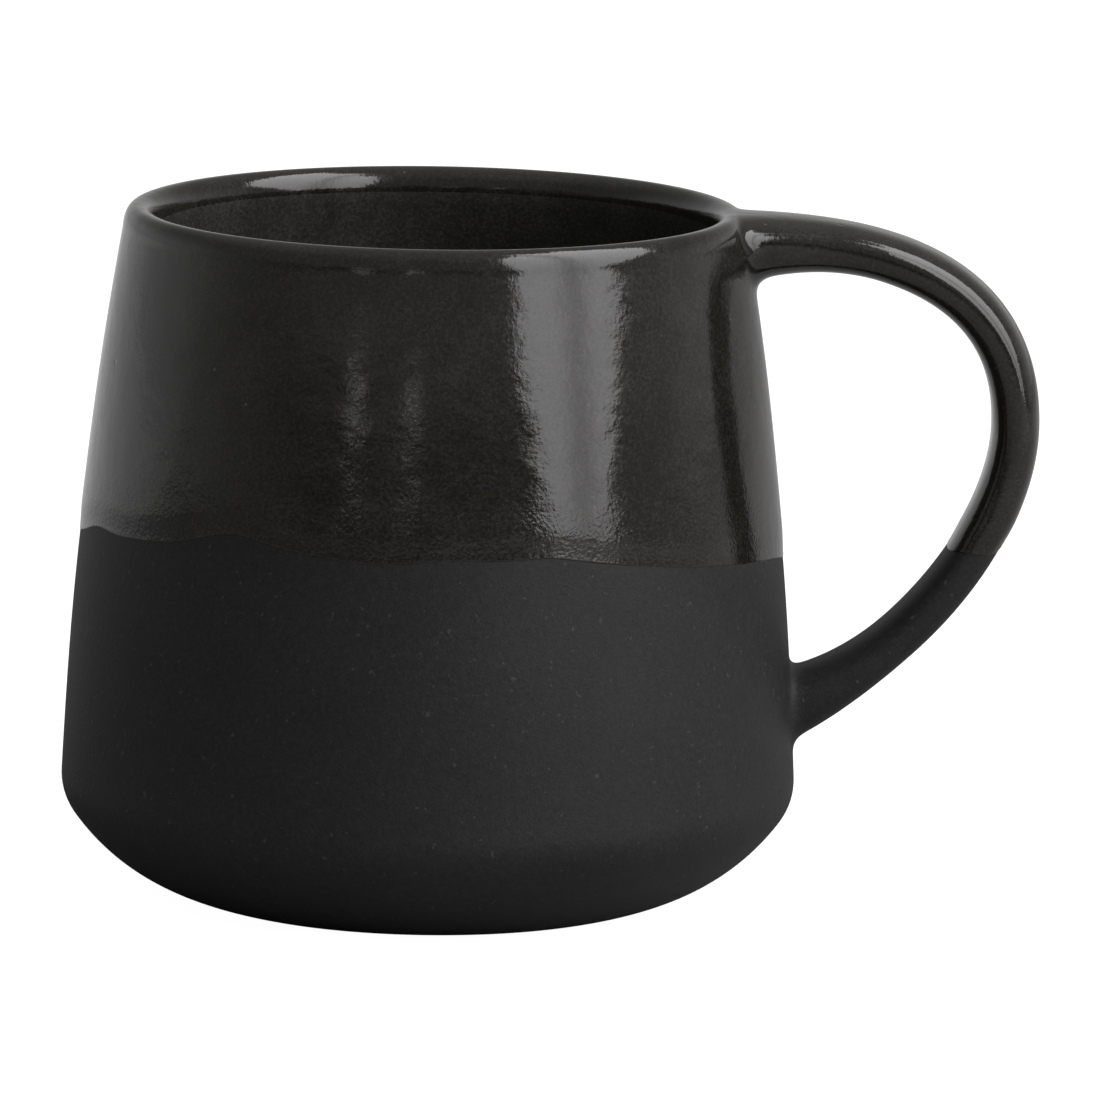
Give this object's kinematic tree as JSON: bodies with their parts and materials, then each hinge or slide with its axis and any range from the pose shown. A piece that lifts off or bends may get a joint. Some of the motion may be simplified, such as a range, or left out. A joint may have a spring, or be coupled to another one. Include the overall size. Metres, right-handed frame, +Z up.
{
  "type": "ceramic mug",
  "caption": "Handled stoneware mug, tapering from a bevelled foot to a rounded lip, glazed inside and dip glazed over its upper half, for hot drinks.",
  "frame": {"origin": "centre of the foot ring, on the plane that the mug stands on", "axes": "+Z up along the vessel's axis, +X from the axis towards the handle, +Y completes the right-handed frame"},
  "size_m": [0.1321, 0.0998, 0.0943],
  "materials": {
    "bare_clay": "matte unglazed charcoal stoneware with a fine grain",
    "joint_slip": "matte slip of the same charcoal clay, smoothed by finger",
    "liner_glaze": "glossy brown-black liner glaze",
    "dip_glaze": "glossy brown-black dip glaze with fine speckles, orange peel and pinholes"
  },
  "bodies": {
    "root": {"vessel": "bare_clay", "handle": "bare_clay", "upper_slip_joint": "joint_slip", "lower_slip_joint": "joint_slip", "liner_glaze": "liner_glaze", "dip_glaze": "dip_glaze", "handle_dip_glaze": "dip_glaze"}
  },
  "joints": []
}
